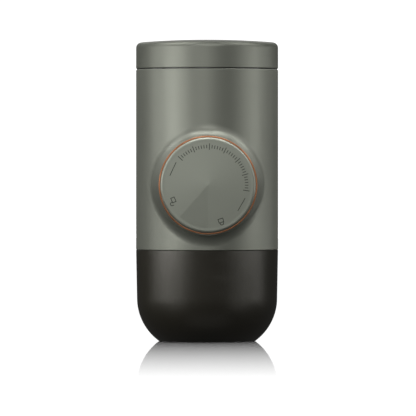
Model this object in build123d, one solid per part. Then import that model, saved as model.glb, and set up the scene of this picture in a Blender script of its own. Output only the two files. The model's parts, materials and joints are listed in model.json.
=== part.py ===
from build123d import *
import os
from math import asin, atan, cos, degrees, pi, radians, sin, sqrt, tan

# Handheld manual espresso maker, in millimetres. The foot of the cup stands on z = 0 and the origin is the
# middle of that foot. +Z runs up the body and the pump knob faces -Y. Water sits in the tank at the top, the
# sideways pump in the middle presses it down through the coffee, and the cup below closes over the outlet.

# ---- Outer form ----
body_radius = 36.0
shell_wall = 2.0
overall_height = 152.6
cup_height = 46.2
cup_seam = 0.1
cover_height = 14.6
cover_seam = 0.5
seam_edge = 0.3             # chamfer on the painted edges beside each seam
seam_depth = 0.45           # from the painted surface in to the dark flange under the cover

# ---- Clearances ----
fit_gap = 0.15              # between pieces that are put together once
slip_gap = 0.1              # between flat faces that turn or lie on each other
plug_gap = 0.05             # round a pressed or glued piece
thread_gap = 0.02           # round a screw in its own thread
screw_play = 0.1            # round a screw in a plain hole

# ---- Quick threads: short slanting lugs ----
lug_starts = 4
lug_arc = 40.0              # degrees
lug_height = 0.9
lug_gap = 0.15              # play between a lug and the one that it pulls against
lug_clearance = 0.3         # between a lug's crest and the wall that faces it
lug_margin = 0.3            # from the end of the wall to the first lug
wide_lead = 20.0            # per turn, tank and cup
wide_lug = 2.0              # height of one lug
head_lead = 12.0            # per turn, outlet head
head_lug = 1.2

# ---- Round seals ----
seal_section = 1.5
seal_gap = 0.05
groove_depth = 0.5
groove_play = 0.5

# ---- Cup ----
cup_rim_edge = 0.1
cup_taper = 0.45            # how much narrower the side is where the round corner starts
cup_corner_top = 21.8
cup_corner = 26.9
cup_wall = 2.2
cup_floor = 3.0
foot_edge = 0.4

# ---- Tank, its cover and its socket ----
cover_wall = 2.2
cover_top = 3.0
crown_rise = 1.5
cover_edge = 2.8
tank_wall = 2.0
tank_top = 2.0
tank_flange = 2.0
tank_foot_gap = 1.0
tank_seal_drop = 4.4        # from the socket's rim down to the seal's middle
socket_wall = 1.95
socket_floor = 2.2
lip_height = 1.3
lip_width = 0.9
lip_drop = 0.2              # the socket's lip lies this much below the shell's top edge
water_port = 1.9

# ---- Knob, ring, boss and collar. "Outwards" heights run from the body's upright axis towards -Y ----
knob_margin = 8.0           # from the shell's lower edge up to the ring's seat
knob_radius = 23.9
knob_gap = 0.1
ring_width = 0.7            # wall of the ring, and of the collar behind it
ring_depth = 1.2
ring_rise = 0.5
ring_edge = 0.45
boss_rise = 4.0
boss_lip = 0.15             # left of the boss's front beside the ring's seat
boss_draft = 11.0           # degrees
boss_cove = 6.5
knob_rise = 1.5
knob_edge = 1.3
cap_plate = 2.2
cap_rim = 3.4
cap_rim_wall = 1.1
cone_rise = 1.0
cone_radius = 21.5
facet_start = 228.0         # degrees, seen from the front and anticlockwise from the right
facet_end = 270.0
sleeve_wall = 2.0
sleeve_inset = 0.25
sleeve_front = 4.2
sleeve_stop = 1.0           # between the sleeve's back and the collar's flange
knob_recess = 2.1
collar_flange = 3.0
collar_flange_width = 6.8
collar_screw_angles = (45.0, 135.0, 225.0, 315.0)
stop_pin = 0.8
stop_pin_height = 2.6
unlock_turn = 45.0          # degrees

# ---- Marks on the knob ----
mark_depth = 0.06           # below the flat rim of the knob's face
mark_line = 0.35
mark_ring = 19.3            # radius of their middle
short_mark = 1.7
long_mark = 3.2
mark_pitch = 4.0            # degrees
scale_start = -8.0
scale_marks = 37
long_mark_every = 6
dash_length = 7.4
dash_angles = (155.0, -30.0)
padlock_width = 2.8
padlock_height = 2.2
padlock_bow = 1.0
open_padlock_angle = 203.0
closed_padlock_angle = 290.0

# ---- Pump ----
stroke = 17.0
frame_front = 13.0
barrel_bore = 8.0
barrel_wall = 2.5
dead_length = 1.0           # left behind the piston when the knob is locked in
piston_gap = 0.1
piston_length = 8.0
rod_radius = 6.0
rod_gap = 0.08
guide_flange = 1.2
spring_seat_radius = 15.2
spring_seat = 2.0
spigot_radius = 5.0
spigot_thread = 9.0
washer_radius = 7.0
washer = 0.6
spring_radius = 12.4
spring_wire = 1.4
spring_turns = 6.5

# ---- Frame ----
frame_gap = 0.3
frame_plate = 3.0
column_radius = 3.3
column_inset = 2.4          # between a column and the wall of the core
front_column_angle = -20.0  # degrees from +X
rear_column_angle = 53.0
plate_margin = 2.2          # how far a plate runs past the middle of its columns
socket_post = 8.0
collar_post = 4.0
rib = 2.5

# ---- Valve block ----
block_half = 10.0
block_depth = 9.2
chamber_radius = 3.5
shoulder_height = 5.0       # from the knob's axis to each shoulder in the bore
plug_length = 5.0
plug_recess = 1.65
ball_radius = 2.8
ball_gap = 0.1
ball_lift = 1.2
valve_spring_radius = 2.2
valve_spring_wire = 0.5
valve_spring_turns = 6.0

# ---- Brew head ----
group_plate = 5.0
neck_wall = 1.8
neck_depth = 8.4
ring_wall = 2.6
ring_reach = 13.9           # how far the outlet head's threaded ring hangs below the plate
spray_gap = 1.2             # open height between the plate and the shower screen
screen = 0.8
screen_ledge = 1.2
gasket = 2.5
gasket_width = 2.5
channel_radius = 1.2
channel_end = 12.0
screen_boss = 3.2

# ---- Basket and outlet head ----
sheet = 0.6
basket_depth = 16.4
rim_width = 2.4
rim_gap = 0.4
basket_play = 0.3
head_wall = 2.6
head_inner_wall = 1.9
head_top_gap = 4.0
head_floor = 3.4
ring_foot_gap = 0.8
funnel_gap = 1.0
funnel_edge = 0.5
head_foot_width = 6.7       # how far the head's flat foot lies inside its side
head_shoulder = 9.0
head_edge = 0.4
grip_count = 24
grip_radius = 1.1
grip_depth = 0.6
grip_margin = 2.5
spout_length = 10.5
spout_root = 6.6
spout_tip = 4.6

# ---- Pierced holes ----
basket_hole = 0.45
basket_rings = 6
screen_hole = 0.7
screen_rings = 4
pierced_margin = 1.0

# ---- Screws ----
screw_radius = 1.25
screw_head_radius = 2.3
screw_head = 2.0
screw_edge = 0.35
hole_end = 0.4              # left beyond a screw's tip in a blind hole
collar_screw_length = 7.5
tie_screw_hold = 7.0
block_screw_radius = 1.0
block_screw_head_radius = 1.8
block_screw_head = 1.6
block_screw_reach = 7.0
block_screw_heights = (-15.0, -7.0, 7.0, 15.0)
block_screw_hold = 2.5
knob_screw_length = 8.0
knob_screw_head = 1.2
screen_screw_radius = 1.5
screen_screw_length = 4.2
screen_screw_head_radius = 2.8
screen_screw_head = 1.2

# ---- Vent valve ----
vent_place = (-14.0, 8.0)
vent_cap_radius = 5.2
vent_cap = 1.0
vent_crown = 0.5
vent_stem = 1.4
vent_bulb = 2.2
vent_bulb_length = 2.2
vent_hole = 0.8
vent_hole_ring = 3.2
vent_holes = 3

# ---- Worked out from the sizes above: shell, core and heights ----
reach = 1.0                 # how far a cutting or joining solid runs past the face that it meets
shell_bottom = cup_height + cup_seam
cover_bottom = overall_height - cover_height
shell_top = cover_bottom - cover_seam
shell_inner = body_radius - shell_wall
core_radius = shell_inner - fit_gap
lip_radius = core_radius + lip_width
bore_radius = knob_radius + knob_gap
ring_outer = bore_radius + ring_width
knob_height = shell_bottom + knob_margin + ring_outer
frame_bottom = knob_height - ring_outer - frame_gap
frame_top = knob_height + ring_outer + frame_gap
column_top = frame_top - socket_post
plate_bottom = frame_bottom - group_plate
plate_middle = frame_bottom - group_plate / 2
floor_top = frame_top + socket_floor
socket_top = shell_top - lip_drop
ceiling = overall_height - cover_top

# ---- Tank ----
socket_inner = core_radius - socket_wall
tank_outer = socket_inner - lug_height - lug_clearance
tank_inner = tank_outer - tank_wall
tank_bottom = floor_top + tank_foot_gap
tank_seal_height = socket_top - tank_seal_drop
tank_lug_height = tank_bottom + wide_lug + lug_margin
cover_inner = body_radius - cover_wall

# ---- Cup and neck ----
cup_inner = body_radius - cup_wall
neck_outer = cup_inner - lug_height - lug_clearance
neck_inner = neck_outer - neck_wall
neck_bottom = cup_height - neck_depth
neck_lug_height = neck_bottom + wide_lug + lug_margin
cup_seal_height = cup_height - seal_section / 2 - slip_gap

# ---- Brew head ----
ring_outside = neck_inner - 2 * (screw_head_radius + screw_edge)
ring_bore = ring_outside - ring_wall
ring_bottom = plate_bottom - ring_reach
ring_lug_height = ring_bottom + head_lug + lug_margin
screen_top = plate_bottom - spray_gap
screen_bottom = screen_top - screen
basket_top = screen_bottom - gasket - slip_gap
basket_rim = ring_bore - rim_gap
basket_outer = basket_rim - rim_width
basket_inner = basket_outer - sheet
basket_bottom = basket_top - basket_depth - sheet
head_inner_bore = basket_outer + basket_play
head_inner_side = head_inner_bore + head_inner_wall
head_inner_top = basket_top - sheet - slip_gap
head_bore = ring_outside + lug_height + lug_clearance
head_outer = head_bore + head_wall
head_top = plate_bottom - head_top_gap
funnel_top = basket_bottom - funnel_gap
head_bottom = funnel_top - head_floor
spout_end = head_bottom - spout_length

# ---- Knob and pump, outwards from the upright axis ----
boss_front = body_radius + boss_rise
knob_face = boss_front + knob_rise
collar_front = boss_front - ring_depth
flange_front = frame_front + collar_flange
sleeve_back = flange_front + sleeve_stop
sleeve_radius = knob_radius - sleeve_inset
sleeve_middle = sleeve_radius - sleeve_wall / 2
rim_back = knob_face - cap_rim
cap_back = knob_face - cap_plate
front_wall_back = cap_back - sleeve_front
recess_floor = cap_back - knob_recess
spigot_end = recess_floor + slip_gap
spring_seat_front = front_wall_back - slip_gap
spring_seat_back = spring_seat_front - spring_seat
block_back = sqrt(core_radius**2 - block_half**2) - fit_gap
barrel_end = block_back - block_depth
piston_back = dead_length - barrel_end
piston_front = piston_back + piston_length
piston_radius = barrel_bore - piston_gap
piston_middle = (piston_back + piston_front) / 2
guide_back = piston_front + stroke + slip_gap
valve_line = barrel_end + block_depth / 2

# ---- Valves ----
seat_top = frame_top - plug_recess
seat_bottom = seat_top - plug_length
retainer_bottom = frame_bottom + plug_recess
retainer_top = retainer_bottom + plug_length
upper_shoulder = knob_height + shoulder_height
lower_shoulder = knob_height - shoulder_height
ball_drop = sqrt(ball_radius**2 - water_port**2) + ball_gap
ball_nest = sqrt((ball_radius + valve_spring_wire / 2 + slip_gap)**2 - valve_spring_radius**2)
inlet_ball_height = seat_bottom - ball_drop
outlet_ball_height = lower_shoulder - ball_drop

column_ring = core_radius - column_inset - column_radius
column_places = [(side * column_ring * cos(radians(angle)), column_ring * sin(radians(angle)))
                 for angle in (front_column_angle, rear_column_angle) for side in (1, -1)]

# Across the body at the knob's height: local x is +X, local y is up and local z points out of the front.
outwards = Plane(origin=(0, 0, knob_height), x_dir=(1, 0, 0), z_dir=(0, -1, 0))


# ---- Shape helpers ----
def rod(radius, low, high, place=(0, 0)):
    """Cylinder along Z between two heights."""
    return Pos(*place, (low + high) / 2) * Cylinder(radius, high - low)


def tube(inner, outer, low, high):
    """Tube along Z between two heights."""
    return rod(outer, low, high) - rod(inner, low - reach, high + reach)


def block(x_range, y_range, z_range):
    """Box between the two ends of each range."""
    sizes = [high - low for low, high in (x_range, y_range, z_range)]
    middle = [(high + low) / 2 for low, high in (x_range, y_range, z_range)]
    return Pos(*middle) * Box(*sizes)


def turned(*points):
    """Solid of revolution about Z from (radius, height) points."""
    return revolve(Plane.XZ * make_face(Polyline(*points, close=True)), Axis.Z)


def polar(radius, angle):
    """Point at a radius and an angle in degrees."""
    return radius * cos(radians(angle)), radius * sin(radians(angle))


def ring_sector(inner, outer, low, high, arc):
    """Part of a tube, centred on the X axis."""
    section = Plane.XZ * (Pos((inner + outer) / 2, (low + high) / 2) * Rectangle(outer - inner, high - low))
    return Rot(0, 0, -arc / 2) * revolve(section, Axis.Z, arc)


def lug_ring(inner, outer, height, thickness, lead):
    """The lugs of a quick thread: each is a ring sector between two planes at the thread's angle."""
    lean = degrees(atan(lead / (pi * (inner + outer))))
    rise = outer * tan(radians(lean)) + thickness
    sector = ring_sector(inner, outer, height - rise, height + rise, lug_arc)
    slab = Pos(0, 0, height) * Rot(lean, 0, 0) * Box(3 * outer, 3 * outer, thickness)
    lug = sector & slab
    return [spot * lug for spot in PolarLocations(0, lug_starts, 180 / lug_starts)]


def seal(groove_floor, height):
    """Round seal that lies in an outside groove."""
    return Pos(0, 0, height) * Torus(groove_floor + seal_gap + seal_section / 2, seal_section / 2)


def seal_groove(outer, height):
    """Cut for a round seal in an outside wall."""
    half = (seal_section + groove_play) / 2
    return tube(outer - groove_depth, outer + reach, height - half, height + half)


def screw(radius, length, head_radius, head):
    """Socket screw along Z: the head stands on z = 0 and the shank runs down from it."""
    body = rod(radius, -length, 0) + rod(head_radius, 0, head)
    body = chamfer(body.edges().group_by(Axis.Z)[-1], min(screw_edge, head / 3))
    return body - extrude(Pos(0, 0, head / 2) * RegularPolygon(head_radius / 2, 6), head)


def coil(radius, wire, low, high, turns):
    """Open coil spring along Z between two heights."""
    rise = high - low - wire
    path = Helix(pitch=rise / turns, height=rise, radius=radius, center=(0, 0, low + wire / 2))
    section = Plane(origin=path @ 0, z_dir=path % 0) * Circle(wire / 2)
    return sweep(section, path, is_frenet=True)


def pierced(outer_ring, rings, radius, low, high):
    """Holes on evenly spaced rings, six more on each ring than on the one inside it."""
    return [spot * rod(radius, low, high) for ring in range(1, rings + 1)
            for spot in PolarLocations(outer_ring * ring / rings, 6 * ring)]


# ---- Cup ----
def cup_form(inset, bottom):
    """The cup's outline set in by a wall: a tapered side, then one large round corner down to a flat."""
    side = body_radius - cup_taper - inset
    corner = cup_corner - inset
    sweep_angle = degrees(asin((cup_corner_top - bottom) / corner))
    bend = [(side - corner + x, cup_corner_top - y)
            for x, y in (polar(corner, 0), polar(corner, sweep_angle / 2), polar(corner, sweep_angle))]
    outline = Polyline(bend[2], (0, bottom), (0, cup_height), (body_radius - inset, cup_height), bend[0])
    return revolve(Plane.XZ * make_face(outline + ThreePointArc(*bend)), Axis.Z)


def make_cup():
    outside = cup_form(0, 0)
    outside = chamfer(outside.edges().group_by(Axis.Z)[-1], cup_rim_edge)
    outside = fillet(outside.edges().group_by(Axis.Z)[0], foot_edge)
    lug_level = neck_lug_height + wide_lug + lug_gap
    lugs = lug_ring(cup_inner - lug_height, cup_inner + cup_wall / 2, lug_level, wide_lug, wide_lead)
    return outside - cup_form(cup_wall, cup_floor) + lugs


# ---- Shell and trim ----
def make_body_shell():
    """Painted sleeve. The boss is faired into it by a cove, then faced off and bored for the knob."""
    barrel = rod(body_radius, shell_bottom, shell_top)
    slope = tan(radians(boss_draft))
    tall_front = boss_front + 2 * boss_cove
    front_radius = ring_outer + boss_lip
    foot_radius = front_radius + (boss_front - frame_front) * slope
    tip_radius = front_radius - (tall_front - boss_front) * slope
    boss = outwards * turned((0, frame_front), (foot_radius, frame_front), (tip_radius, tall_front),
                             (0, tall_front))
    form = barrel + boss
    joint = [edge for edge in form.edges() if edge.geom_type not in (GeomType.CIRCLE, GeomType.LINE)]
    form = fillet(joint, boss_cove)
    form -= outwards * rod(body_radius, boss_front, tall_front + reach)
    rims = form.edges().filter_by(GeomType.CIRCLE).filter_by(lambda edge: edge.radius > body_radius - reach)
    form = chamfer(rims, seam_edge)
    form -= rod(shell_inner, shell_bottom - reach, shell_top + reach)
    form -= rod(lip_radius + fit_gap, shell_bottom - reach, plate_bottom + lip_height)
    form -= rod(lip_radius + fit_gap, socket_top - lip_height, shell_top + reach)
    return form - outwards * rod(ring_outer + plug_gap, 0, boss_front + reach)


def make_accent_ring():
    """Thin bright ring pressed into the boss. Its front stands a little proud and rounds off outwards."""
    ring = tube(bore_radius, ring_outer, collar_front, boss_front + ring_rise)
    outer_edge = ring.edges().group_by(Axis.Z)[-1].sort_by(SortBy.RADIUS)[-1]
    return outwards * fillet(outer_edge, ring_edge)


# ---- Collar ----
collar_screw_middle = ring_outer - collar_flange_width / 2
collar_screw_places = [polar(collar_screw_middle, angle) for angle in collar_screw_angles]
stop_pin_angles = (0, 180)


def make_piston_collar():
    """Guide in which the knob slides. Its flange is screwed to the frame and carries the knob's stop pins."""
    collar = tube(bore_radius, ring_outer, frame_front, collar_front)
    collar += tube(ring_outer - collar_flange_width, ring_outer, frame_front, flange_front)
    for place in collar_screw_places:
        collar -= rod(screw_radius + screw_play, frame_front - reach, flange_front, place)
        collar -= rod(screw_head_radius + screw_play, flange_front - screw_head - screw_play,
                      flange_front + reach, place)
    for angle in stop_pin_angles:
        collar += rod(stop_pin, flange_front - reach, flange_front + stop_pin_height,
                      polar(sleeve_middle, angle))
    return outwards * collar


def make_collar_screws():
    one = screw(screw_radius, collar_screw_length, screw_head_radius, screw_head)
    return [outwards * Pos(*place, flange_front - screw_head - screw_play) * one
            for place in collar_screw_places]


# ---- Knob ----
def engraved(sketch):
    """Cut for a mark: down to one flat depth below the knob's rim, through the cone above it."""
    return extrude(Pos(0, 0, knob_face - mark_depth) * sketch, mark_depth + cone_rise)


def knob_marks():
    """Engraved scale with a dash beyond each of its ends."""
    marks = []
    for number in range(scale_marks):
        length = short_mark if number % long_mark_every else long_mark
        mark = engraved(Pos(mark_ring, 0) * Rectangle(length, mark_line))
        marks.append(Rot(0, 0, scale_start + mark_pitch * number) * mark)
    dash = engraved(Pos(mark_ring, 0) * Rectangle(mark_line, dash_length))
    return marks + [Rot(0, 0, angle) * dash for angle in dash_angles]


def padlock(angle, bow_shift):
    """Engraved outline of a padlock with its bow outwards. An open one has its bow swung to the side."""
    outline = Rectangle(padlock_height, padlock_width)
    outline -= Rectangle(padlock_height - 2 * mark_line, padlock_width - 2 * mark_line)
    bow = Circle(padlock_bow) - Circle(padlock_bow - mark_line)
    bow -= Pos(-padlock_bow, 0) * Rectangle(2 * padlock_bow, 3 * padlock_bow)
    leg = Pos(-mark_line, padlock_bow - mark_line / 2) * Rectangle(2 * mark_line, mark_line)
    bow += [leg, mirror(leg, Plane.XZ)]
    bow = Pos(padlock_height / 2 + mark_line, bow_shift) * bow
    return engraved(Rot(0, 0, angle) * Pos(mark_ring - padlock_bow / 2, 0) * (outline + bow))


def make_knob_cap():
    """Visible face of the knob: a low cone with one flat facet."""
    disc = rod(knob_radius, rim_back, knob_face)
    disc = fillet(disc.edges().group_by(Axis.Z)[-1], knob_edge)
    base = cap_back + cap_plate / 2
    tip = knob_face + cone_rise
    cone = turned((0, base), (cone_radius, base), (cone_radius, knob_face), (0, tip))
    half = radians(facet_end - facet_start) / 2
    facet_reach, facet_side = cone_radius * cos(half), cone_radius * sin(half)
    slope = Plane.XZ * make_face(Polyline((0, base), (facet_reach, base), (facet_reach, knob_face), (0, tip),
                                          close=True))
    slab = extrude(slope, cone_radius, both=True)
    wedge = make_face(Polyline((0, 0), (facet_reach, -facet_side), (facet_reach, facet_side), close=True))
    wedge = extrude(Pos(0, 0, base) * wedge, cap_plate + cone_rise)
    turn = Rot(0, 0, (facet_start + facet_end) / 2)
    cap = disc + (cone - turn * wedge) + turn * (slab & wedge)
    cap -= rod(knob_radius - cap_rim_wall, rim_back - reach, cap_back)
    cap -= knob_marks()
    cap -= [padlock(closed_padlock_angle, 0), padlock(open_padlock_angle, 2 * padlock_bow - mark_line)]
    return outwards * cap


def make_knob_sleeve():
    """Guide skirt of the knob. Notches in its back let it turn between the collar's stop pins."""
    inside_cap = knob_radius - cap_rim_wall - fit_gap
    under_rim = rim_back - fit_gap
    sleeve = turned((spigot_radius + slip_gap, front_wall_back), (sleeve_radius - sleeve_wall, front_wall_back),
                    (sleeve_radius - sleeve_wall, sleeve_back), (sleeve_radius, sleeve_back),
                    (sleeve_radius, under_rim), (inside_cap, under_rim), (inside_cap, cap_back),
                    (spigot_radius + slip_gap, cap_back))
    sleeve -= rod(washer_radius + fit_gap, recess_floor, cap_back + reach)
    play = degrees(asin((stop_pin + fit_gap) / sleeve_middle))
    notch = ring_sector(sleeve_radius - 2 * sleeve_wall, sleeve_radius + reach, sleeve_back - reach,
                        flange_front + stop_pin_height + fit_gap, unlock_turn + 2 * play)
    sleeve -= [Rot(0, 0, angle - unlock_turn / 2) * notch for angle in stop_pin_angles]
    return outwards * sleeve


def make_knob_washer():
    return outwards * tube(screw_radius + screw_play, washer_radius, spigot_end, spigot_end + washer)


def make_knob_screw():
    one = screw(screw_radius, knob_screw_length, screw_head_radius, knob_screw_head)
    return outwards * Pos(0, 0, spigot_end + washer) * one


# ---- Plunger ----
piston_groove_floor = barrel_bore - 2 * seal_gap - seal_section


def make_plunger():
    """Rod with the piston at its back and, at its front, the spring's seat and the knob's spigot."""
    body = rod(piston_radius, piston_back, piston_front)
    body -= tube(piston_groove_floor, barrel_bore, piston_middle - (seal_section + groove_play) / 2,
                 piston_middle + (seal_section + groove_play) / 2)
    body += rod(rod_radius, piston_front - reach, spring_seat_back + reach)
    body += rod(spring_seat_radius, spring_seat_back, spring_seat_front)
    body += rod(spigot_radius, spring_seat_front - reach, spigot_end)
    return outwards * (body - rod(screw_radius + thread_gap, spigot_end - spigot_thread, spigot_end + reach))


def make_piston_seal():
    ring = Torus(barrel_bore - seal_gap - seal_section / 2, seal_section / 2)
    return outwards * Pos(0, 0, piston_middle) * ring


def make_pump_spring():
    """Coil spring that pushes the knob out, drawn at its locked length."""
    return outwards * coil(spring_radius, spring_wire, frame_front + slip_gap, spring_seat_back - slip_gap,
                           spring_turns)


# ---- Frame ----
block_screw_places = [(side * block_screw_reach, height) for side in (1, -1) for height in block_screw_heights]


def make_pump_frame():
    """Moulded frame: the pump barrel between two plates, with a column for each tie screw."""
    upright = (frame_bottom, column_top)
    front_half, rear_half = (abs(column_places[index][0]) + plate_margin for index in (0, 2))
    frame = block((-front_half, front_half), (-frame_front, frame_plate - frame_front), upright)
    frame += block((-rear_half, rear_half), (barrel_end - frame_plate, barrel_end), upright)
    frame += block((-front_half, front_half), (reach - frame_front, barrel_end - reach),
                   (knob_height - rib / 2, knob_height + rib / 2))
    frame &= rod(core_radius - column_inset, *upright)
    frame += outwards * rod(barrel_bore + barrel_wall, -barrel_end, frame_front)
    frame += [rod(column_radius, *upright, place) for place in column_places]
    post_back = frame_front - frame_plate - collar_post
    frame += [outwards * rod(column_radius, post_back, frame_front - reach, place)
              for place in collar_screw_places]
    frame -= [rod(screw_radius + screw_play, frame_bottom - reach, column_top + reach, place)
              for place in column_places]
    frame -= [outwards * rod(screw_radius + thread_gap, post_back - reach, frame_front + reach, place)
              for place in collar_screw_places]
    frame -= [outwards * rod(block_screw_radius + thread_gap, -barrel_end - reach, frame_plate - barrel_end,
                             place) for place in block_screw_places]
    return frame - outwards * rod(barrel_bore, -barrel_end - reach, frame_front + reach)


def make_rod_guide():
    """Bush in the barrel's mouth. The piston stops against its inner end."""
    guide = rod(barrel_bore - plug_gap, guide_back, frame_front + reach / 2)
    guide += rod(barrel_bore + barrel_wall, frame_front, frame_front + guide_flange)
    return outwards * (guide - rod(rod_radius + rod_gap, guide_back - reach, frame_front + guide_flange + reach))


# ---- Valve block ----
def make_valve_block():
    """Block behind the barrel. Its upright bore holds the inlet valve above and the outlet valve below."""
    body = block((-block_half, block_half), (barrel_end, block_back), (frame_bottom, frame_top))
    middle = (0, valve_line)
    body -= rod(chamber_radius, upper_shoulder, frame_top + reach, middle)
    body -= rod(water_port, lower_shoulder - reach, upper_shoulder + reach, middle)
    body -= rod(chamber_radius, frame_bottom - reach, lower_shoulder, middle)
    body -= outwards * rod(water_port, -valve_line, reach - barrel_end)
    head_seat = block_screw_head + screw_play - block_back
    for place in block_screw_places:
        body -= outwards * rod(block_screw_radius + screw_play, head_seat - reach, reach - barrel_end, place)
        body -= outwards * rod(block_screw_head_radius + screw_play, -block_back - reach, head_seat, place)
    return body


def make_valve_block_screws():
    seat = block_screw_head + screw_play - block_back
    length = -barrel_end - seat + block_screw_hold
    one = Rot(180, 0, 0) * screw(block_screw_radius, length, block_screw_head_radius, block_screw_head)
    return [outwards * Pos(*place, seat) * one for place in block_screw_places]


def valve_plug(low):
    """Bush pressed into the valve block's bore."""
    return Pos(0, valve_line) * tube(water_port, chamber_radius - plug_gap, low, low + plug_length)


def valve_ball(height):
    return Pos(0, valve_line, height) * Sphere(ball_radius)


def valve_spring(low, ball_height):
    """Light spring that holds a ball up against its seat."""
    high = ball_height - ball_nest + valve_spring_wire / 2
    return Pos(0, valve_line) * coil(valve_spring_radius, valve_spring_wire, low + plug_gap, high,
                                     valve_spring_turns)


def make_port_seals():
    """Seals between the valve block and the pieces above and below it."""
    ring = Torus(chamber_radius - seal_gap - seal_section / 2, seal_section / 2)
    return [Pos(0, valve_line, height) * ring
            for height in (frame_top - plug_recess / 2, frame_bottom + plug_recess / 2)]


# ---- Tank socket ----
def make_tank_socket():
    """Fixed socket that the tank screws into, with blind posts for the tie screws under its floor."""
    body = rod(core_radius, frame_top, socket_top) + rod(lip_radius, socket_top - lip_height, socket_top)
    body -= rod(socket_inner, floor_top, socket_top + reach)
    lug_level = tank_lug_height + wide_lug + lug_gap
    body += lug_ring(socket_inner - lug_height, socket_inner + socket_wall / 2, lug_level, wide_lug, wide_lead)
    for place in column_places:
        body += rod(column_radius, column_top, frame_top + reach, place)
        body -= rod(screw_radius + thread_gap, column_top - reach,
                    column_top + tie_screw_hold + hole_end, place)
    body -= rod(water_port, frame_top - reach, floor_top + reach, (0, valve_line))
    body -= rod(vent_stem, frame_top - reach, floor_top + reach, vent_place)
    body -= [Pos(*vent_place) * spot * rod(vent_hole, frame_top - reach, floor_top + reach)
             for spot in PolarLocations(vent_hole_ring, vent_holes)]
    return body


def make_vent_valve():
    """Umbrella valve: a thin disc over the vent holes, held by a stem with a bulb under the floor."""
    stem = vent_stem - plug_gap
    seat, bulb_top = floor_top + plug_gap, frame_top - plug_gap
    bulb_end = bulb_top - vent_bulb_length
    valve = turned((0, seat), (vent_cap_radius, seat), (vent_cap_radius - vent_crown, seat + vent_cap),
                   (0, seat + vent_cap + vent_crown))
    valve += turned((0, bulb_top), (vent_bulb, bulb_top), (stem, bulb_end), (0, bulb_end))
    return Pos(*vent_place) * (valve + rod(stem, bulb_end, seat + vent_cap))


# ---- Tank ----
def make_tank_vessel():
    """Water tank, closed at the top, with its thread lugs near the open lower end. The cover sits on the
    flange's thin ledge, which shows as the dark floor of the seam."""
    top = ceiling - plug_gap
    flange_bottom = socket_top + slip_gap
    body = rod(tank_outer, tank_bottom, top)
    body += rod(cover_inner - plug_gap, flange_bottom, flange_bottom + tank_flange)
    body += rod(body_radius - seam_depth, shell_top + slip_gap, cover_bottom - plug_gap)
    body -= rod(tank_inner, tank_bottom - reach, top - tank_top)
    body -= seal_groove(tank_outer, tank_seal_height)
    return body + lug_ring(tank_outer - tank_wall / 2, tank_outer + lug_height, tank_lug_height, wide_lug,
                           wide_lead)


def make_tank_cover():
    """Painted cap over the tank's closed end, slightly crowned."""
    side_top = overall_height - crown_rise
    crown = ThreePointArc((0, overall_height), (body_radius / 2, overall_height - crown_rise / 4),
                          (body_radius, side_top))
    face = make_face(crown + Polyline((0, overall_height), (0, cover_bottom), (body_radius, cover_bottom),
                                      (body_radius, side_top)))
    corner = face.vertices().sort_by(Axis.X)[-2:].sort_by(Axis.Y)[-1]
    body = revolve(Plane.XZ * fillet(corner, cover_edge), Axis.Z)
    body = chamfer(body.edges().group_by(Axis.Z)[0], seam_edge)
    return body - rod(cover_inner, cover_bottom - reach, ceiling)


# ---- Brew head ----
def make_group_head():
    """Plate with the water channel, the neck for the cup and the threaded ring for the outlet head."""
    body = rod(core_radius, plate_bottom, frame_bottom)
    body += rod(lip_radius, plate_bottom, plate_bottom + lip_height - slip_gap)
    body += tube(neck_inner, neck_outer, neck_bottom, plate_bottom + reach)
    body += tube(ring_bore, ring_outside, ring_bottom, plate_bottom + reach)
    body += tube(ring_bore - screen_ledge, ring_bore + reach, screen_top, plate_bottom + reach)
    body += rod(screen_boss, screen_top, plate_bottom + reach)
    body += lug_ring(neck_outer - neck_wall / 2, neck_outer + lug_height, neck_lug_height, wide_lug, wide_lead)
    body += lug_ring(ring_outside - ring_wall / 2, ring_outside + lug_height, ring_lug_height, head_lug,
                     head_lead)
    body -= seal_groove(neck_outer, cup_seal_height)
    body -= rod(water_port, plate_middle, frame_bottom + reach, (0, valve_line))
    along = Plane(origin=(0, 0, plate_middle), x_dir=(1, 0, 0), z_dir=(0, 1, 0))
    body -= along * rod(channel_radius, channel_end, valve_line)
    body -= rod(channel_radius, plate_bottom - reach, plate_middle, (0, channel_end))
    body -= rod(screen_screw_radius + thread_gap, screen_top - reach,
                screen_bottom + screen_screw_length + hole_end)
    body -= [rod(screw_radius + screw_play, plate_bottom - reach, frame_bottom + reach, place)
             for place in column_places]
    return body


def make_tie_screws():
    length = column_top + tie_screw_hold - plate_bottom
    one = Rot(180, 0, 0) * screw(screw_radius, length, screw_head_radius, screw_head)
    return [Pos(*place, plate_bottom) * one for place in column_places]


def make_shower_screen():
    plate = tube(screen_screw_radius + screw_play, ring_bore - fit_gap, screen_bottom, screen_top)
    outer_ring = ring_bore - gasket_width - screen_hole - pierced_margin
    return plate - pierced(outer_ring, screen_rings, screen_hole, screen_bottom - reach, screen_top + reach)


def make_screen_screw():
    one = screw(screen_screw_radius, screen_screw_length, screen_screw_head_radius, screen_screw_head)
    return Pos(0, 0, screen_bottom) * Rot(180, 0, 0) * one


def make_group_gasket():
    return tube(ring_bore - gasket_width, ring_bore - plug_gap, screen_bottom - gasket, screen_bottom)


# ---- Basket and outlet head ----
def make_filter_basket():
    """Pressed steel basket with a flat rim and a pierced floor."""
    floor_top_face = basket_bottom + sheet
    body = turned((0, basket_bottom), (basket_outer, basket_bottom), (basket_outer, basket_top - sheet),
                  (basket_rim, basket_top - sheet), (basket_rim, basket_top), (basket_inner, basket_top),
                  (basket_inner, floor_top_face), (0, floor_top_face))
    outer_ring = basket_inner - basket_hole - pierced_margin
    body -= rod(basket_hole, basket_bottom - reach, floor_top_face + reach)
    return body - pierced(outer_ring, basket_rings, basket_hole, basket_bottom - reach, floor_top_face + reach)


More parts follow.
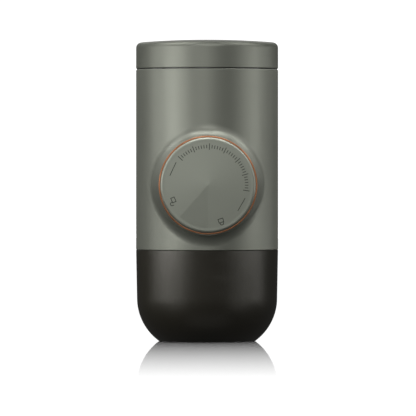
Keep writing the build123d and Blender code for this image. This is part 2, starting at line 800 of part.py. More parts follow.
def make_outlet_head():
    """Screw-on head below the basket: a wall under the basket's rim, a threaded skirt, a funnel and a spout."""
    shoulder = head_bottom + head_shoulder
    body = turned((0, spout_end), (spout_tip, spout_end), (spout_root, head_bottom),
                  (head_outer - head_foot_width, head_bottom), (head_outer, shoulder), (head_outer, head_top),
                  (0, head_top))
    body = chamfer(body.edges().group_by(Axis.Z)[0], head_edge)
    grip = rod(grip_radius, shoulder - grip_margin, head_top - grip_margin)
    body -= [spot * grip for spot in PolarLocations(head_outer + grip_radius - grip_depth, grip_count)]
    body -= tube(head_inner_side, head_bore, ring_bottom - ring_foot_gap, head_top + reach)
    body -= rod(head_inner_side + reach, head_inner_top, head_top + reach)
    body -= turned((0, head_bottom + funnel_edge), (water_port, head_bottom + funnel_edge),
                   (head_inner_bore, funnel_top), (head_inner_bore, head_top + reach), (0, head_top + reach))
    body -= rod(water_port, spout_end - reach, head_bottom + reach)
    lug_level = ring_lug_height + head_lug + lug_gap
    return body + lug_ring(head_bore - lug_height, head_bore + head_wall / 2, lug_level, head_lug, head_lead)


# ---- Write one file for each piece ----
pieces = {
    "cup": make_cup(),
    "cup_seal": seal(neck_outer - groove_depth, cup_seal_height),
    "body_shell": make_body_shell(),
    "accent_ring": make_accent_ring(),
    "piston_collar": make_piston_collar(),
    "collar_screws": make_collar_screws(),
    "knob_cap": make_knob_cap(),
    "knob_sleeve": make_knob_sleeve(),
    "knob_washer": make_knob_washer(),
    "knob_screw": make_knob_screw(),
    "plunger": make_plunger(),
    "piston_seal": make_piston_seal(),
    "pump_spring": make_pump_spring(),
    "pump_frame": make_pump_frame(),
    "rod_guide": make_rod_guide(),
    "valve_block": make_valve_block(),
    "valve_block_screws": make_valve_block_screws(),
    "inlet_valve_seat": valve_plug(seat_bottom),
    "outlet_valve_retainer": valve_plug(retainer_bottom),
    "inlet_ball": valve_ball(inlet_ball_height),
    "outlet_ball": valve_ball(outlet_ball_height),
    "inlet_spring": valve_spring(upper_shoulder, inlet_ball_height),
    "outlet_spring": valve_spring(retainer_top, outlet_ball_height),
    "port_seals": make_port_seals(),
    "tank_socket": make_tank_socket(),
    "vent_valve": make_vent_valve(),
    "tank_vessel": make_tank_vessel(),
    "tank_cover": make_tank_cover(),
    "tank_seal": seal(tank_outer - groove_depth, tank_seal_height),
    "group_head": make_group_head(),
    "tie_screws": make_tie_screws(),
    "shower_screen": make_shower_screen(),
    "screen_screw": make_screen_screw(),
    "group_gasket": make_group_gasket(),
    "filter_basket": make_filter_basket(),
    "outlet_head": make_outlet_head(),
}

os.makedirs("parts", exist_ok=True)
for name, piece in pieces.items():
    shape = Compound(children=piece) if isinstance(piece, list) else piece
    export_step(shape, f"parts/{name}.step")
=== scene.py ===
import json
from math import cos, pi, radians, sin

import bpy
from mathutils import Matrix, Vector


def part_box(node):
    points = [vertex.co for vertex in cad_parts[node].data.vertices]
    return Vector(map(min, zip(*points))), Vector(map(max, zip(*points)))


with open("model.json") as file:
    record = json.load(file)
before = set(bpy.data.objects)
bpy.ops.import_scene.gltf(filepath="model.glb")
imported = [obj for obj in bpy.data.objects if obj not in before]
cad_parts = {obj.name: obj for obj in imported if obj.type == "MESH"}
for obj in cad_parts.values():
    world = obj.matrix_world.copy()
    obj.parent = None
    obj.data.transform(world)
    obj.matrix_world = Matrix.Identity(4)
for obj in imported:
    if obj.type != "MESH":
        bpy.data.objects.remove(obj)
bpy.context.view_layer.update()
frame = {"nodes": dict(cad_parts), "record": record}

# Metres. +Z is up and the pump knob faces -Y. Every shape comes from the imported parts, so this script gives
# the parts their finishes and sets up the studio round them
scene = bpy.context.scene
scene.view_settings.view_transform = "Standard"
parts = frame["nodes"]
millimetre = 0.001


# Camera: level, looking along +Y from far off, so the body hardly tapers in the picture
cameraView = {
    "distance": 2.719,
    "height": 0.0806,
    "azimuth": -0.65,          # degrees, towards the left
    "lens": 464.0,             # millimetres, as the sensor is
    "sensor": 36.0,
    "picture": 416.0,          # pixels across
    "axisColumn": 207.1,       # where the body's axis falls
    "horizonRow": 182.0,
    "clipEnd": 60.0,
}


def addCamera(view):
    data = bpy.data.cameras.new("camera")
    data.sensor_width = view["sensor"]
    data.lens = view["lens"]
    data.clip_end = view["clipEnd"]
    data.shift_x = (view["picture"] / 2 - view["axisColumn"]) / view["picture"]
    data.shift_y = (view["horizonRow"] - view["picture"] / 2) / view["picture"]
    camera = bpy.data.objects.new("camera", data)
    scene.collection.objects.link(camera)
    turn = radians(view["azimuth"])
    camera.location = (view["distance"] * sin(turn), -view["distance"] * cos(turn), view["height"])
    camera.rotation_euler = (radians(90), 0, turn)
    scene.camera = camera


addCamera(cameraView)
print("camera set")


# Node helpers
def newMaterial(name):
    material = bpy.data.materials.new(name)
    material.use_nodes = True
    material.node_tree.nodes.clear()
    return material


def link(tree, source, target):
    tree.links.new(source, target)


def addNode(tree, kind, place=(0, 0), **settings):
    node = tree.nodes.new(kind)
    node.location = place
    for name, value in settings.items():
        setattr(node, name, value)
    return node


def mathNode(tree, operation, first, second, place=(0, 0), clamp=False):
    node = addNode(tree, "ShaderNodeMath", place, operation=operation, use_clamp=clamp)
    for socket, value in zip(node.inputs, (first, second)):
        if isinstance(value, bpy.types.NodeSocket):
            link(tree, value, socket)
        else:
            socket.default_value = value
    return node.outputs[0]


def newGroup(name, inputs, outputs):
    tree = bpy.data.node_groups.new(name, "ShaderNodeTree")
    for label, kind, value in inputs:
        socket = tree.interface.new_socket(name=label, in_out="INPUT", socket_type=kind)
        socket.default_value = value
    for label, kind in outputs:
        tree.interface.new_socket(name=label, in_out="OUTPUT", socket_type=kind)
    return tree, addNode(tree, "NodeGroupInput", (-900, 0)), addNode(tree, "NodeGroupOutput", (700, 0))


# Effects that the finishes share
grainNoise = {
    "grainDetail": 3.0,
    "grainRoughness": 0.6,
    "mottleDetail": 4.0,
}


def makeGrainGroup(look):
    # Fine moulded or sprayed grain: a height for bump, and a slow mottle of the colour
    tree, inside, outside = newGroup(
        "fineGrain",
        [("Colour", "NodeSocketColor", (0.5, 0.5, 0.5, 1)), ("Grain Scale", "NodeSocketFloat", 2500.0),
         ("Mottle Scale", "NodeSocketFloat", 60.0), ("Mottle", "NodeSocketFloat", 0.05)],
        [("Colour", "NodeSocketColor"), ("Height", "NodeSocketFloat"), ("Mottle Mask", "NodeSocketFloat")])
    place = addNode(tree, "ShaderNodeTexCoord", (-900, -300))
    grain = addNode(tree, "ShaderNodeTexNoise", (-500, -200))
    grain.inputs["Detail"].default_value = look["grainDetail"]
    grain.inputs["Roughness"].default_value = look["grainRoughness"]
    mottle = addNode(tree, "ShaderNodeTexNoise", (-500, 100))
    mottle.inputs["Detail"].default_value = look["mottleDetail"]
    for noise, label in ((grain, "Grain Scale"), (mottle, "Mottle Scale")):
        link(tree, place.outputs["Object"], noise.inputs["Vector"])
        link(tree, inside.outputs[label], noise.inputs["Scale"])
    swing = mathNode(tree, "SUBTRACT", mottle.outputs["Fac"], 0.5, (-300, 100))
    swing = mathNode(tree, "MULTIPLY", swing, inside.outputs["Mottle"], (-120, 100))
    bright = mathNode(tree, "ADD", swing, 1.0, (60, 100))
    tint = addNode(tree, "ShaderNodeVectorMath", (260, 160), operation="SCALE")
    link(tree, inside.outputs["Colour"], tint.inputs[0])
    link(tree, bright, tint.inputs["Scale"])
    link(tree, tint.outputs["Vector"], outside.inputs["Colour"])
    link(tree, grain.outputs["Fac"], outside.inputs["Height"])
    link(tree, mottle.outputs["Fac"], outside.inputs["Mottle Mask"])
    return tree


scuffNoise = {
    "stretch": (1.0, 1.0, 7.0),
    "turn": (0.4, 0.3, 0.0),   # radians
    "streakDetail": 5.0,
    "streaks": (0.56, 0.72),   # the noise at which a streak starts and is full
    "patches": (0.45, 0.65),   # and the same for the patches that the streaks lie in
}


def makeScuffGroup(look):
    # Faint handling marks: where they lie, from 0 to 1, as thin stretched streaks
    tree, inside, outside = newGroup(
        "handlingScuffs",
        [("Scale", "NodeSocketFloat", 40.0), ("Amount", "NodeSocketFloat", 0.2)],
        [("Mask", "NodeSocketFloat")])
    place = addNode(tree, "ShaderNodeTexCoord", (-900, -300))
    stretch = addNode(tree, "ShaderNodeMapping", (-700, -200))
    stretch.inputs["Scale"].default_value = look["stretch"]
    stretch.inputs["Rotation"].default_value = look["turn"]
    streak = addNode(tree, "ShaderNodeTexNoise", (-480, -100))
    streak.inputs["Detail"].default_value = look["streakDetail"]
    patch = addNode(tree, "ShaderNodeTexNoise", (-480, 200))
    link(tree, place.outputs["Object"], stretch.inputs["Vector"])
    link(tree, stretch.outputs["Vector"], streak.inputs["Vector"])
    link(tree, place.outputs["Object"], patch.inputs["Vector"])
    link(tree, inside.outputs["Scale"], streak.inputs["Scale"])
    link(tree, inside.outputs["Scale"], patch.inputs["Scale"])
    masks = []
    for noise, (start, full), row in ((streak, look["streaks"], -100), (patch, look["patches"], 200)):
        share = addNode(tree, "ShaderNodeMapRange", (-280, row))
        share.inputs["From Min"].default_value = start
        share.inputs["From Max"].default_value = full
        link(tree, noise.outputs["Fac"], share.inputs["Value"])
        masks.append(share.outputs["Result"])
    both = mathNode(tree, "MULTIPLY", *masks, (-60, 50))
    mask = mathNode(tree, "MULTIPLY", both, inside.outputs["Amount"], (160, 50))
    link(tree, mask, outside.inputs["Mask"])
    return tree


def makeMarkGroup():
    # Where the knob's engraved marks lie, 0 or 1: behind a plane across the knob and inside a circle
    tree, inside, outside = newGroup(
        "engravedMarks",
        [("Plane", "NodeSocketFloat", 0.04), ("Height", "NodeSocketFloat", 0.08),
         ("Radius", "NodeSocketFloat", 0.02)],
        [("Mask", "NodeSocketFloat")])
    place = addNode(tree, "ShaderNodeTexCoord", (-900, -300))
    axes = addNode(tree, "ShaderNodeSeparateXYZ", (-700, -200))
    link(tree, place.outputs["Object"], axes.inputs["Vector"])
    forward = mathNode(tree, "MULTIPLY", axes.outputs["Y"], -1.0, (-500, 0))
    behind = mathNode(tree, "LESS_THAN", forward, inside.outputs["Plane"], (-300, 0))
    rise = mathNode(tree, "SUBTRACT", axes.outputs["Z"], inside.outputs["Height"], (-500, -200))
    rise = mathNode(tree, "MULTIPLY", rise, rise, (-340, -200))
    across = mathNode(tree, "MULTIPLY", axes.outputs["X"], axes.outputs["X"], (-500, -380))
    away = mathNode(tree, "SQRT", mathNode(tree, "ADD", rise, across, (-180, -260)), 0.0, (-20, -260))
    within = mathNode(tree, "LESS_THAN", away, inside.outputs["Radius"], (140, -200))
    link(tree, mathNode(tree, "MULTIPLY", behind, within, (320, 0)), outside.inputs["Mask"])
    return tree


def makeFaceGroup():
    # The normal to start from: the faces' own where they look almost along -Y, so that a low cone keeps its
    # crisp facet, and the smoothed one elsewhere. Steepen turns those faces further from -Y
    tree, inside, outside = newGroup(
        "faceNormal",
        [("Blend Start", "NodeSocketFloat", 0.990), ("Blend End", "NodeSocketFloat", 0.995),
         ("Steepen", "NodeSocketFloat", 1.0)],
        [("Normal", "NodeSocketVector")])
    shape = addNode(tree, "ShaderNodeNewGeometry", (-900, -300))
    ahead = addNode(tree, "ShaderNodeVectorMath", (-700, 200), operation="DOT_PRODUCT")
    ahead.inputs[1].default_value = (0.0, -1.0, 0.0)
    link(tree, shape.outputs["True Normal"], ahead.inputs[0])
    share = addNode(tree, "ShaderNodeMapRange", (-480, 200))
    link(tree, ahead.outputs["Value"], share.inputs["Value"])
    link(tree, inside.outputs["Blend Start"], share.inputs["From Min"])
    link(tree, inside.outputs["Blend End"], share.inputs["From Max"])
    aside = addNode(tree, "ShaderNodeCombineXYZ", (-700, -500))
    aside.inputs["Y"].default_value = 1.0
    link(tree, inside.outputs["Steepen"], aside.inputs["X"])
    link(tree, inside.outputs["Steepen"], aside.inputs["Z"])
    steep = addNode(tree, "ShaderNodeVectorMath", (-480, -400), operation="MULTIPLY")
    link(tree, shape.outputs["True Normal"], steep.inputs[0])
    link(tree, aside.outputs["Vector"], steep.inputs[1])
    blend = addNode(tree, "ShaderNodeMix", (-200, 0), data_type="VECTOR")
    link(tree, share.outputs["Result"], blend.inputs["Factor"])
    link(tree, shape.outputs["Normal"], blend.inputs["A"])
    link(tree, steep.outputs["Vector"], blend.inputs["B"])
    unit = addNode(tree, "ShaderNodeVectorMath", (100, 0), operation="NORMALIZE")
    link(tree, blend.outputs["Result"], unit.inputs[0])
    link(tree, unit.outputs["Vector"], outside.inputs["Normal"])
    return tree


def makeSectorGroup():
    # A sector round the knob's axis, 0 or 1. Its angles are radians, anticlockwise from the right as seen
    # from the front
    tree, inside, outside = newGroup(
        "knobSector",
        [("Height", "NodeSocketFloat", 0.08), ("Start", "NodeSocketFloat", -2.0),
         ("End", "NodeSocketFloat", -1.0)],
        [("Mask", "NodeSocketFloat")])
    place = addNode(tree, "ShaderNodeTexCoord", (-900, -300))
    axes = addNode(tree, "ShaderNodeSeparateXYZ", (-700, -200))
    link(tree, place.outputs["Object"], axes.inputs["Vector"])
    rise = mathNode(tree, "SUBTRACT", axes.outputs["Z"], inside.outputs["Height"], (-500, -200))
    turn = mathNode(tree, "ARCTAN2", rise, axes.outputs["X"], (-300, -100))
    after = mathNode(tree, "GREATER_THAN", turn, inside.outputs["Start"], (-100, 0))
    before = mathNode(tree, "LESS_THAN", turn, inside.outputs["End"], (-100, -200))
    link(tree, mathNode(tree, "MULTIPLY", after, before, (120, 0)), outside.inputs["Mask"])
    return tree


grainGroup = makeGrainGroup(grainNoise)
scuffGroup = makeScuffGroup(scuffNoise)
markGroup = makeMarkGroup()
faceGroup = makeFaceGroup()
sectorGroup = makeSectorGroup()
print("shared effects made")


# Finishes, all built by one function. The roughness drifts up and down by its swing, grainDepth is in
# millimetres, and scuffs is how much rougher a scuff is
finishes = {
    "sage_paint": {
        "colour": (0.242, 0.252, 0.213), "metallic": 0.55, "roughness": 0.42, "roughnessSwing": 0.04,
        "grainScale": 2600.0, "grainDepth": 0.02, "mottleScale": 45.0, "mottle": 0.05, "scuffs": 0.10,
    },
    # knob_paint is the same sage paint made about a quarter lighter. This is painted light: it stands in for
    # the knob's face catching more light than the body does
    "knob_paint": {
        "colour": (0.302, 0.319, 0.268), "metallic": 0.55, "roughness": 0.42, "roughnessSwing": 0.04,
        "grainScale": 2600.0, "grainDepth": 0.02, "mottleScale": 45.0, "mottle": 0.05, "scuffs": 0.10,
    },
    "copper_ring": {
        "colour": (0.40, 0.17, 0.08), "metallic": 0.6, "roughness": 0.32, "roughnessSwing": 0.05,
        "grainScale": 3200.0, "grainDepth": 0.01, "mottleScale": 90.0, "mottle": 0.06, "scuffs": 0.10,
    },
    "black_cup": {
        "colour": (0.0085, 0.0072, 0.004), "metallic": 0.0, "roughness": 0.35, "roughnessSwing": 0.03,
        "specular": 1.0, "specularTint": (1.0, 0.98, 0.895),
        "grainScale": 2200.0, "grainDepth": 0.03, "mottleScale": 50.0, "mottle": 0.12, "scuffs": 0.05,
    },
    "black_plastic": {
        "colour": (0.018, 0.018, 0.019), "metallic": 0.0, "roughness": 0.48, "roughnessSwing": 0.06,
        "grainScale": 1800.0, "grainDepth": 0.05, "mottleScale": 50.0, "mottle": 0.15, "scuffs": 0.15,
    },
    "frame_plastic": {
        "colour": (0.085, 0.085, 0.09), "metallic": 0.0, "roughness": 0.50, "roughnessSwing": 0.06,
        "grainScale": 1800.0, "grainDepth": 0.06, "mottleScale": 50.0, "mottle": 0.12, "scuffs": 0.15,
    },
    "tank_plastic": {
        "colour": (0.05, 0.052, 0.05), "metallic": 0.0, "roughness": 0.16, "roughnessSwing": 0.05,
        "grainScale": 1500.0, "grainDepth": 0.01, "mottleScale": 40.0, "mottle": 0.10, "scuffs": 0.20,
    },
    "seal_rubber": {
        "colour": (0.15, 0.145, 0.14), "metallic": 0.0, "roughness": 0.62, "roughnessSwing": 0.06,
        "grainScale": 2600.0, "grainDepth": 0.05, "mottleScale": 120.0, "mottle": 0.10, "scuffs": 0.0,
    },
    "pressed_steel": {
        "colour": (0.62, 0.61, 0.59), "metallic": 1.0, "roughness": 0.28, "roughnessSwing": 0.08,
        "grainScale": 3500.0, "grainDepth": 0.03, "mottleScale": 150.0, "mottle": 0.06, "scuffs": 0.25,
    },
    "screw_steel": {
        "colour": (0.52, 0.52, 0.53), "metallic": 1.0, "roughness": 0.34, "roughnessSwing": 0.10,
        "grainScale": 4000.0, "grainDepth": 0.04, "mottleScale": 300.0, "mottle": 0.12, "scuffs": 0.3,
    },
    "spring_steel": {
        "colour": (0.46, 0.46, 0.48), "metallic": 1.0, "roughness": 0.36, "roughnessSwing": 0.10,
        "grainScale": 5000.0, "grainDepth": 0.04, "mottleScale": 300.0, "mottle": 0.15, "scuffs": 0.2,
    },
    "ball_steel": {
        "colour": (0.68, 0.68, 0.69), "metallic": 1.0, "roughness": 0.10, "roughnessSwing": 0.04,
        "grainScale": 5000.0, "grainDepth": 0.0, "mottleScale": 300.0, "mottle": 0.03, "scuffs": 0.1,
    },
}


def makeFinish(name, look):
    # Grain and mottle from the shared group, then a shader whose roughness drifts and rises on the scuffs
    material = newMaterial(name)
    tree = material.node_tree
    grain = addNode(tree, "ShaderNodeGroup", (-700, 100), node_tree=grainGroup)
    grain.inputs["Colour"].default_value = (*look["colour"], 1)
    grain.inputs["Grain Scale"].default_value = look["grainScale"]
    grain.inputs["Mottle Scale"].default_value = look["mottleScale"]
    grain.inputs["Mottle"].default_value = look["mottle"]
    scuff = addNode(tree, "ShaderNodeGroup", (-700, -200), node_tree=scuffGroup)
    scuff.inputs["Amount"].default_value = look["scuffs"]
    drift = mathNode(tree, "SUBTRACT", grain.outputs["Mottle Mask"], 0.5, (-480, -60))
    drift = mathNode(tree, "MULTIPLY", drift, 2 * look["roughnessSwing"], (-320, -60))
    drift = mathNode(tree, "ADD", drift, look["roughness"], (-160, -60))
    rough = mathNode(tree, "ADD", drift, scuff.outputs["Mask"], (0, -120), clamp=True)
    bump = addNode(tree, "ShaderNodeBump", (0, -320))
    bump.inputs["Distance"].default_value = look["grainDepth"] * millimetre
    link(tree, grain.outputs["Height"], bump.inputs["Height"])
    shader = addNode(tree, "ShaderNodeBsdfPrincipled", (260, 100))
    shader.inputs["Metallic"].default_value = look["metallic"]
    shader.inputs["Specular IOR Level"].default_value = look.get("specular", 0.5)
    shader.inputs["Specular Tint"].default_value = (*look.get("specularTint", (1, 1, 1)), 1)
    link(tree, grain.outputs["Colour"], shader.inputs["Base Color"])
    link(tree, rough, shader.inputs["Roughness"])
    link(tree, bump.outputs["Normal"], shader.inputs["Normal"])
    output = addNode(tree, "ShaderNodeOutputMaterial", (560, 100))
    link(tree, shader.outputs["BSDF"], output.inputs["Surface"])
    return material


# The knob's face: a low cone with one facet, and marks engraved round it
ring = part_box("accent_ring")
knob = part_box("knob_cap")
tipToMarks = 1.02 * millimetre     # the rim lies 1 mm behind the cone's tip, and what is deeper is a mark
knobMarks = {
    "plane": -knob[0].y - tipToMarks,
    "height": (ring[0].z + ring[1].z) / 2,
    "radius": 0.0222,
    "colour": (0.035, 0.036, 0.031),
    "facetStart": -132.0,      # degrees, anticlockwise from the right
    "facetEnd": -90.0,
    "facetSteepen": 1.65,
}


def dressKnob(material, look):
    # The bottom of each engraved mark takes the dark colour in place of the paint, and the cone stays crisp
    tree = material.node_tree
    bump = next(node for node in tree.nodes if node.type == "BUMP")
    face = addNode(tree, "ShaderNodeGroup", (-300, -500), node_tree=faceGroup)
    link(tree, face.outputs["Normal"], bump.inputs["Normal"])
    facet = addNode(tree, "ShaderNodeGroup", (-900, -700), node_tree=sectorGroup)
    facet.inputs["Height"].default_value = look["height"]
    facet.inputs["Start"].default_value = radians(look["facetStart"])
    facet.inputs["End"].default_value = radians(look["facetEnd"])
    steepen = mathNode(tree, "MULTIPLY", facet.outputs["Mask"], look["facetSteepen"] - 1, (-700, -700))
    link(tree, mathNode(tree, "ADD", steepen, 1.0, (-520, -700)), face.inputs["Steepen"])
    shader = next(node for node in tree.nodes if node.type == "BSDF_PRINCIPLED")
    paint = shader.inputs["Base Color"].links[0].from_socket
    marks = addNode(tree, "ShaderNodeGroup", (-700, -460), node_tree=markGroup)
    marks.inputs["Plane"].default_value = look["plane"]
    marks.inputs["Height"].default_value = look["height"]
    marks.inputs["Radius"].default_value = look["radius"]
    fill = addNode(tree, "ShaderNodeMix", (40, 320), data_type="RGBA")
    fill.inputs["B"].default_value = (*look["colour"], 1)
    link(tree, marks.outputs["Mask"], fill.inputs["Factor"])
    link(tree, paint, fill.inputs["A"])
    link(tree, fill.outputs["Result"], shader.inputs["Base Color"])


materials = {name: makeFinish(name, look) for name, look in finishes.items()}
dressKnob(materials["knob_paint"], knobMarks)
print("finishes made:", len(materials))


# Each part takes the finish that the record names for it
slotOf = {row["node"]: row["material_slot"] for row in frame["record"]["subparts"]}
for name, part in parts.items():
    part.data.materials.clear()
    part.data.materials.append(materials[slotOf[name]])
print("parts finished:", len(parts))


# Studio floor: white, and polished round the object, where the polish fades outwards. The object's own light
# doesn't reach it, and it throws nothing back on the object
floorLook = {
    "half": 9.0,
    "drop": 0.00005,           # under the foot, so that the two faces don't fight
    "colour": 0.95,
    "roughness": 0.02,
    "polishReach": 0.53,       # how far from the body's axis the floor still mirrors
    "polishLevel": 1.15,
    "mirrorFall": 7.0,         # how fast the floor stops mirroring as the view gets steeper
}


def addFloor(look):
    half = look["half"]
    corners = [(-half, -half, 0), (half, -half, 0), (half, half, 0), (-half, half, 0)]
    mesh = bpy.data.meshes.new("floor")
    mesh.from_pydata(corners, [], [(0, 1, 2, 3)])
    floor = bpy.data.objects.new("floor", mesh)
    floor.location.z = -look["drop"]
    scene.collection.objects.link(floor)
    material = newMaterial("studio_floor")
    tree = material.node_tree
    facing = addNode(tree, "ShaderNodeLayerWeight", (-700, 200))
    grazing = mathNode(tree, "POWER", facing.outputs["Facing"], look["mirrorFall"], (-500, 200))
    place = addNode(tree, "ShaderNodeTexCoord", (-900, 500))
    away = addNode(tree, "ShaderNodeVectorMath", (-700, 500), operation="LENGTH")
    link(tree, place.outputs["Object"], away.inputs[0])
    polish = addNode(tree, "ShaderNodeMapRange", (-500, 500))
    polish.inputs["From Max"].default_value = look["polishReach"]
    polish.inputs["To Min"].default_value = look["polishLevel"]
    polish.inputs["To Max"].default_value = 0.0
    link(tree, away.outputs["Value"], polish.inputs["Value"])
    shine = mathNode(tree, "MULTIPLY", polish.outputs["Result"], grazing, (-200, 300), clamp=True)
    matt = addNode(tree, "ShaderNodeBsdfDiffuse", (-300, 0))
    matt.inputs["Color"].default_value = (look["colour"], look["colour"], look["colour"], 1)
    mirror = addNode(tree, "ShaderNodeBsdfAnisotropic", (-300, -200))
    mirror.inputs["Color"].default_value = (1, 1, 1, 1)
    mirror.inputs["Roughness"].default_value = look["roughness"]
    mix = addNode(tree, "ShaderNodeMixShader", (0, 100))
    link(tree, shine, mix.inputs["Fac"])
    link(tree, matt.outputs["BSDF"], mix.inputs[1])
    link(tree, mirror.outputs["BSDF"], mix.inputs[2])
    output = addNode(tree, "ShaderNodeOutputMaterial", (260, 100))
    link(tree, mix.outputs["Shader"], output.inputs["Surface"])
    mesh.materials.append(material)
    floor.visible_diffuse = False
    floor.visible_glossy = False
    return floor


# Surround: a white sphere that is the backdrop and lights the floor, but not the object
surroundLook = {
    "radius": 5.0,
    "level": 1.08,
    "segments": 48,
    "rings": 24,
}


def addSurround(look, floor):
    bpy.ops.mesh.primitive_uv_sphere_add(
        radius=look["radius"], segments=look["segments"], ring_count=look["rings"])
    surround = bpy.context.object
    surround.name = "surround"
    material = newMaterial("studio_surround")
    tree = material.node_tree
    side = addNode(tree, "ShaderNodeNewGeometry", (-600, 100))
    inner = mathNode(tree, "MULTIPLY", side.outputs["Backfacing"], look["level"], (-400, 100))
    glow = addNode(tree, "ShaderNodeEmission", (-200, 100))
    link(tree, inner, glow.inputs["Strength"])       # the sphere glows on its inside only
    clear = addNode(tree, "ShaderNodeBsdfTransparent", (-200, -100))
    both = addNode(tree, "ShaderNodeAddShader", (0, 0))
    link(tree, glow.outputs["Emission"], both.inputs[0])
    link(tree, clear.outputs["BSDF"], both.inputs[1])
    output = addNode(tree, "ShaderNodeOutputMaterial", (200, 0))
    link(tree, both.outputs["Shader"], output.inputs["Surface"])
    material.cycles.emission_sampling = "NONE"       # the floor's own rays find it
    surround.data.materials.append(material)
    surround.visible_shadow = False
    receivers = bpy.data.collections.new("floorOnly")
    receivers.objects.link(floor)
    surround.light_linking.receiver_collection = receivers


# World: a little fill from all round
worldLevel = 0.05


def addWorld(level):
    world = bpy.data.worlds.new("world")
    world.use_nodes = True
    scene.world = world
    tree = world.node_tree
    tree.nodes.clear()
    background = addNode(tree, "ShaderNodeBackground", (-200, 0))
    background.inputs["Color"].default_value = (1, 1, 1, 1)
    background.inputs["Strength"].default_value = level
    output = addNode(tree, "ShaderNodeOutputWorld", (0, 0))
    link(tree, background.outputs["Background"], output.inputs["Surface"])


floor = addFloor(floorLook)
addSurround(surroundLook, floor)
addWorld(worldLevel)
print("studio floor, surround and world set")


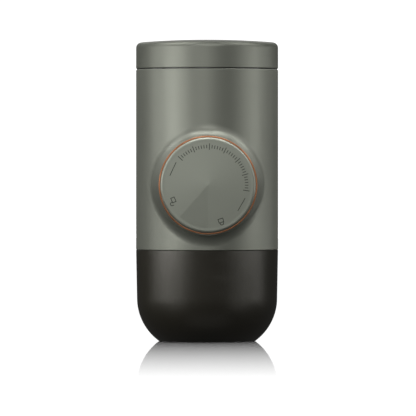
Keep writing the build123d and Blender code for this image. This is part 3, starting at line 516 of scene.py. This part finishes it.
# Soft boxes. They light only the object, from both sides, from above and from under the floor. The cap and
# the cup have boxes of their own, so that neither catches a hard edge of light
boxSizes = {
    # how far a box stands off its aim, how wide and how tall it is
    "far": (1.3, 0.45, 0.30),
    "high": (1.3, 0.90, 0.60),
    "top": (1.3, 0.50, 0.50),
    "broad": (1.3, 1.40, 0.70),
    "near": (0.4, 0.14, 0.16),
    "close": (0.45, 0.18, 0.18),
    "beside": (0.35, 0.14, 0.14),
    "small": (0.18, 0.10, 0.08),
}
softBoxes = {
    # what the boxes light, then each box. Azimuth turns from the front towards the right, and the box faces
    # the point of the body's axis at the height of its aim
    "body": {
        "left": {"size": "far", "azimuth": -90, "elevation": 0, "aim": 0.15, "level": 2.5},
        "front": {"size": "far", "azimuth": -10, "elevation": 0, "aim": 0.15, "level": 1.8},
        "underRight": {"size": "far", "azimuth": 110, "elevation": 0, "aim": -0.15, "level": 1.7},
        "leftNear": {"size": "near", "azimuth": -60, "elevation": 0, "aim": 0.12, "level": 3.8},
        "leftFront": {"size": "near", "azimuth": -40, "elevation": 0, "aim": 0.12, "level": 2.7},
        "frontNear": {"size": "near", "azimuth": 0, "elevation": 0, "aim": 0.12, "level": 0.7},
        "rightFront": {"size": "near", "azimuth": 60, "elevation": 0, "aim": 0.12, "level": 1.1},
        "rightKey": {"size": "near", "azimuth": 80, "elevation": 0, "aim": 0.12, "level": 2.2},
        "frontHigh": {"size": "high", "azimuth": 0, "elevation": 0, "aim": 1.0, "level": 3.2},
        "leftHigh": {"size": "high", "azimuth": -80, "elevation": 0, "aim": 1.0, "level": 1.8},
        "rightHigh": {"size": "high", "azimuth": 80, "elevation": 0, "aim": 1.0, "level": 1.8},
    },
    "shell": {
        "leftHighRear": {"size": "high", "azimuth": -120, "elevation": 0, "aim": 1.0, "level": 3.1},
        "rightHighRear": {"size": "high", "azimuth": 120, "elevation": 0, "aim": 1.0, "level": 3.3},
        "aboveLeft": {"size": "top", "azimuth": -75, "elevation": 70, "aim": 0.08, "level": 4.5},
        "aboveRight": {"size": "top", "azimuth": 75, "elevation": 70, "aim": 0.08, "level": 4.1},
        "above": {"size": "top", "azimuth": 180, "elevation": 80, "aim": 0.08, "level": 41.0},
        "closeLeft": {"size": "close", "azimuth": -70, "elevation": 60, "aim": 0.08, "level": 1.5},
        "closeRight": {"size": "close", "azimuth": 70, "elevation": 60, "aim": 0.08, "level": 2.6},
    },
    "cap": {
        "capClose": {"size": "close", "azimuth": -70, "elevation": 60, "aim": 0.08, "level": 3.6},
        "capRight": {"size": "close", "azimuth": 70, "elevation": 60, "aim": 0.08, "level": 2.6},
        "capEdge": {"size": "far", "azimuth": 110, "elevation": 0, "aim": 0.12, "level": 0.8},
        "capAbove": {"size": "top", "azimuth": -75, "elevation": 70, "aim": 0.08, "level": 1.4},
    },
    "cup": {
        "cupLeft": {"size": "far", "azimuth": -90, "elevation": 0, "aim": 0.15, "level": 1.0},
        "cupRight": {"size": "far", "azimuth": 90, "elevation": 0, "aim": 0.15, "level": 1.5},
        "cupHigh": {"size": "high", "azimuth": 0, "elevation": 0, "aim": 1.0, "level": 4.7},
        "cupLeftNear": {"size": "beside", "azimuth": -70, "elevation": 0, "aim": 0.14, "level": 6.3},
        "cupRightNear": {"size": "beside", "azimuth": 70, "elevation": 0, "aim": 0.14, "level": 3.2},
        "cupLeftClose": {"size": "small", "azimuth": -50, "elevation": 0, "aim": 0.11, "level": 9.4},
        "cupRightClose": {"size": "small", "azimuth": 50, "elevation": 0, "aim": 0.11, "level": 2.6},
        "cupLeftLow": {"size": "small", "azimuth": -50, "elevation": 0, "aim": 0.0, "level": 0.2},
        "cupRightLow": {"size": "small", "azimuth": 50, "elevation": 0, "aim": 0.0, "level": 0.2},
        "cupUnder": {"size": "broad", "azimuth": 0, "elevation": -50, "aim": 0.08, "level": 0.08},
    },
    "all": {
        "rear": {"size": "broad", "azimuth": 180, "elevation": 40, "aim": 0.08, "level": 0.8},
    },
}
boxParts = {
    "body": [name for name in parts if name != "cup"],
    "shell": [name for name in parts if name not in ("cup", "tank_cover")],
    "cap": ["tank_cover"],
    "cup": ["cup"],
    "all": list(parts),
}


def partCollection(name, members):
    collection = bpy.data.collections.new(name)
    for member in members:
        collection.objects.link(parts[member])
    return collection


def addSoftBox(name, box, lit, blockers):
    distance, wide, tall = boxSizes[box["size"]]
    aim = Vector((0, 0, box["aim"]))
    azimuth, elevation = radians(box["azimuth"]), radians(box["elevation"])
    outwards = Vector((sin(azimuth) * cos(elevation), -cos(azimuth) * cos(elevation), sin(elevation)))
    data = bpy.data.lights.new(name, "AREA")
    data.shape = "RECTANGLE"
    data.size, data.size_y = wide, tall
    data.energy = box["level"] * pi * wide * tall    # so level is how bright the box looks at any size
    lamp = bpy.data.objects.new(name, data)
    lamp.location = aim + outwards * distance
    lamp.rotation_euler = (-outwards).to_track_quat("-Z", "Y").to_euler()
    lamp.visible_camera = False
    lamp.light_linking.receiver_collection = lit
    lamp.light_linking.blocker_collection = blockers
    scene.collection.objects.link(lamp)


blockers = partCollection("objectOnly", parts)
for rig, boxes in softBoxes.items():
    lit = partCollection(rig + "Lit", boxParts[rig])
    for boxName, box in boxes.items():
        addSoftBox(boxName, box, lit, blockers)
    print("soft boxes set:", rig, len(boxes))
